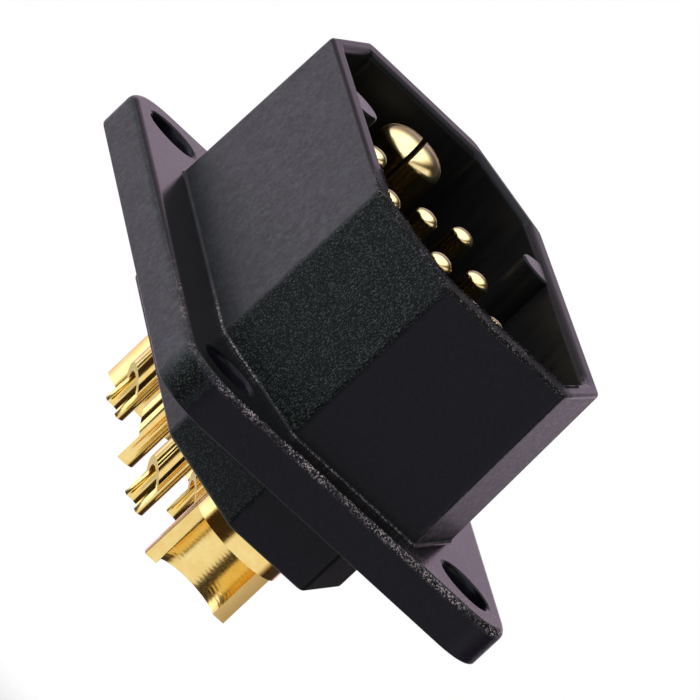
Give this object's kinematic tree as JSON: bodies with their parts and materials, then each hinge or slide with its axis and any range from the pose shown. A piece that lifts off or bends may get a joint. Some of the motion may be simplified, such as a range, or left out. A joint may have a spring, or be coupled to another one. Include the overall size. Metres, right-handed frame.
{
  "type": "panel-mounted male battery connector",
  "caption": "Flanged male connector with a cut-corner shroud, slit power pins and thin signal pins inside it, and half-open solder cups behind its boss.",
  "frame": {"origin": "centre of the flange's rear face, in the middle of the four screw holes", "axes": "+Z along the pins in the mating direction, +X along the housing's length, +Y across its width"},
  "size_m": [0.043, 0.0238, 0.0228],
  "materials": {
    "housing_plastic": "matt spark-eroded texture",
    "contact_gold": "bright gold plating on turned brass"
  },
  "bodies": {
    "root": {"housing": "housing_plastic", "power_contact_1": "contact_gold", "power_contact_2": "contact_gold", "signal_contact_1": "contact_gold", "signal_contact_2": "contact_gold", "signal_contact_3": "contact_gold", "signal_contact_4": "contact_gold", "signal_contact_5": "contact_gold", "signal_contact_6": "contact_gold", "signal_contact_7": "contact_gold", "signal_contact_8": "contact_gold"}
  },
  "joints": []
}
